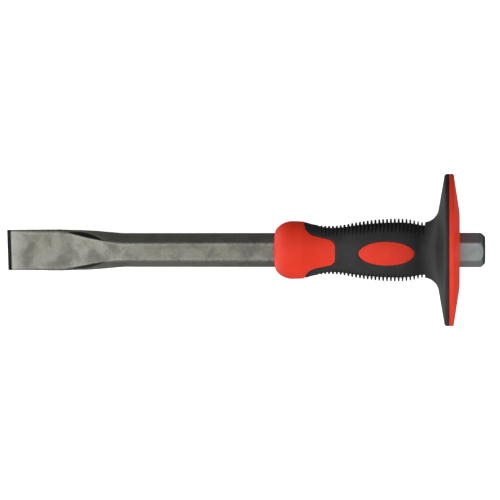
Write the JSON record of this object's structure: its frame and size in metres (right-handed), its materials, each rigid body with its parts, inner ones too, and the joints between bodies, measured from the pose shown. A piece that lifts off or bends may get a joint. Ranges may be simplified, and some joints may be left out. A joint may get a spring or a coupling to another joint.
{
  "type": "cold chisel",
  "caption": "Forged hexagonal cold chisel with a broad blade, a ribbed two-colour hand grip and a round hand guard below the struck head.",
  "frame": {"origin": "centre of the flat striking face", "axes": "+X out of the striking face along the tool's axis, so the cutting edge is at -X; Y across the blade's width; +Z out of the blade's flat, up when the tool lies down"},
  "size_m": [0.3, 0.094, 0.094],
  "materials": {
    "forged_steel": "forged, blasted and lightly oiled",
    "red_plastic": "satin moulded polypropylene",
    "black_rubber": "matt soft thermoplastic rubber"
  },
  "bodies": {
    "root": {"chisel_bar": "forged_steel", "core_sleeve": "red_plastic", "grip_overmould": "black_rubber", "guard_backing": "red_plastic"}
  },
  "joints": []
}
